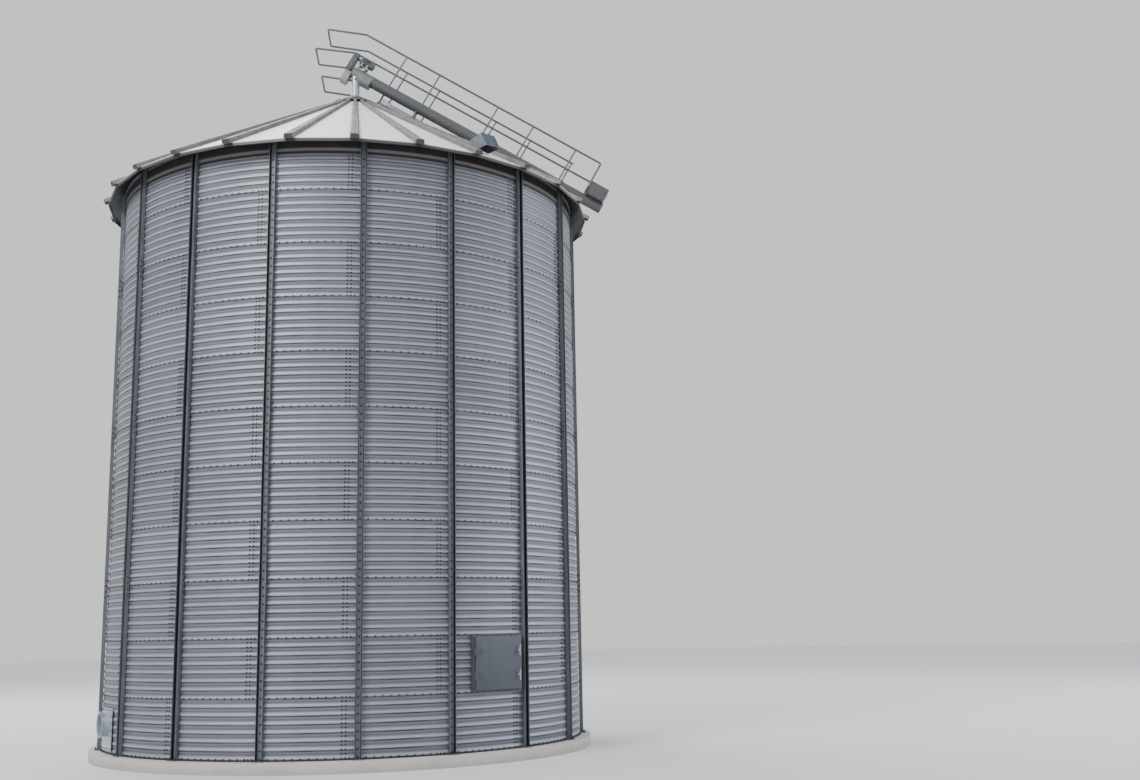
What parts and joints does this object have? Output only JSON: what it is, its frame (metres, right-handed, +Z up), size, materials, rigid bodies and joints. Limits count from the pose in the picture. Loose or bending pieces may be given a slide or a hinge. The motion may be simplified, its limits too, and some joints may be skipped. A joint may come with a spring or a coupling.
{
  "type": "grain silo",
  "caption": "Round flat-bottomed grain silo of corrugated galvanised sheet with outside stiffener posts, ribbed cone roof, inclined auger with walkway, and a hinged manway door.",
  "frame": {"origin": "on the ground, at the silo's axis, under the middle of the concrete base", "axes": "+Z up along the silo's axis, -Y towards the manway door, +X to the right of someone who faces the door"},
  "size_m": [8.7532, 8.7416, 13.367],
  "materials": {
    "wall_sheet": "galvanised sheet with light streaks",
    "roof_sheet": "bright galvanised sheet",
    "post_steel": "weathered galvanised steel",
    "rail_steel": "hot-dip galvanised",
    "door_steel": "dull galvanised sheet",
    "machine_paint": "dusty grey paint",
    "concrete": "cast concrete"
  },
  "bodies": {
    "silo": {"concrete_base": "concrete", "wall_sector_1": "wall_sheet", "wall_sector_2": "wall_sheet", "wall_sector_3": "wall_sheet", "wall_sector_4": "wall_sheet", "wall_sector_5": "wall_sheet", "wall_sector_6": "wall_sheet", "wall_port_bay": "wall_sheet", "wall_below_door": "wall_sheet", "wall_above_door": "wall_sheet", "wall_left_of_door": "wall_sheet", "wall_right_of_door": "wall_sheet", "stiffener_01": "post_steel", "stiffener_02": "post_steel", "stiffener_03": "post_steel", "stiffener_04": "post_steel", "stiffener_05": "post_steel", "stiffener_06": "post_steel", "stiffener_07": "post_steel", "stiffener_08": "post_steel", "stiffener_09": "post_steel", "stiffener_10": "post_steel", "stiffener_11": "post_steel", "stiffener_12": "post_steel", "stiffener_13": "post_steel", "stiffener_14": "post_steel", "stiffener_15": "post_steel", "stiffener_16": "post_steel", "stiffener_17": "post_steel", "stiffener_18": "post_steel", "roof_sector_1": "roof_sheet", "roof_sector_2": "roof_sheet", "roof_sector_3": "roof_sheet", "roof_sector_4": "roof_sheet", "roof_sector_5": "roof_sheet", "roof_sector_6": "roof_sheet", "roof_sector_7": "roof_sheet", "roof_sector_8": "roof_sheet", "roof_sector_9": "roof_sheet", "eave_ring": "post_steel", "peak_cap": "roof_sheet", "auger_tube": "rail_steel", "auger_hopper": "rail_steel", "drive_guard": "machine_paint", "drive_motor": "machine_paint", "discharge_spout": "rail_steel", "walkway_deck": "rail_steel", "platform_floor": "rail_steel", "handrail_near": "rail_steel", "handrail_far": "rail_steel", "handrail_end_top": "rail_steel", "handrail_end_mid": "rail_steel", "vent_hood_1": "door_steel", "vent_hood_2": "door_steel", "door_frame": "door_steel", "aeration_port": "rail_steel"},
    "door": {"door_panel": "door_steel", "door_latch_1": "rail_steel", "door_latch_2": "rail_steel"}
  },
  "joints": [
    {"name": "door_hinge", "type": "hinge", "parent": "silo", "child": "door", "pos_m": [-0.466, -4.064, 1.465], "axis": [0, 0, -1], "range_deg": [0, 120]}
  ]
}
